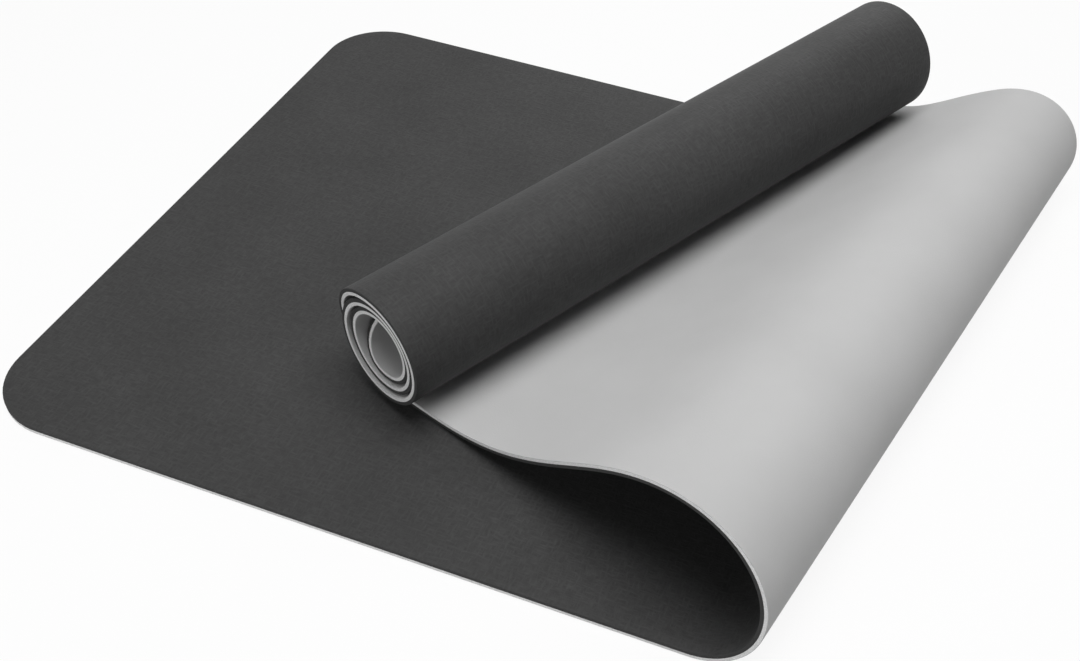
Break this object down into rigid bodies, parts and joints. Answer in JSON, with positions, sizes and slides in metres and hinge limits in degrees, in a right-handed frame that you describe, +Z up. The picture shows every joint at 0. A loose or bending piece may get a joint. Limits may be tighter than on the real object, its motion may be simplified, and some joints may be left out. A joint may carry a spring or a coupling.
{
  "type": "yoga mat",
  "caption": "Two-tone foam exercise mat, laid flat at one end, folded back over itself and rolled up at the other.",
  "frame": {"origin": "on the underside, under the middle of the flat stretch", "axes": "+X along the mat from its flat end towards the fold, +Y across its width, +Z up"},
  "size_m": [0.7302, 0.7063, 0.1158],
  "materials": {
    "charcoal_foam": "matt closed-cell foam with a fine woven emboss",
    "grey_foam": "smooth matt closed-cell foam"
  },
  "bodies": {
    "root": {"top_layer": "charcoal_foam", "bottom_layer": "grey_foam"}
  },
  "joints": []
}
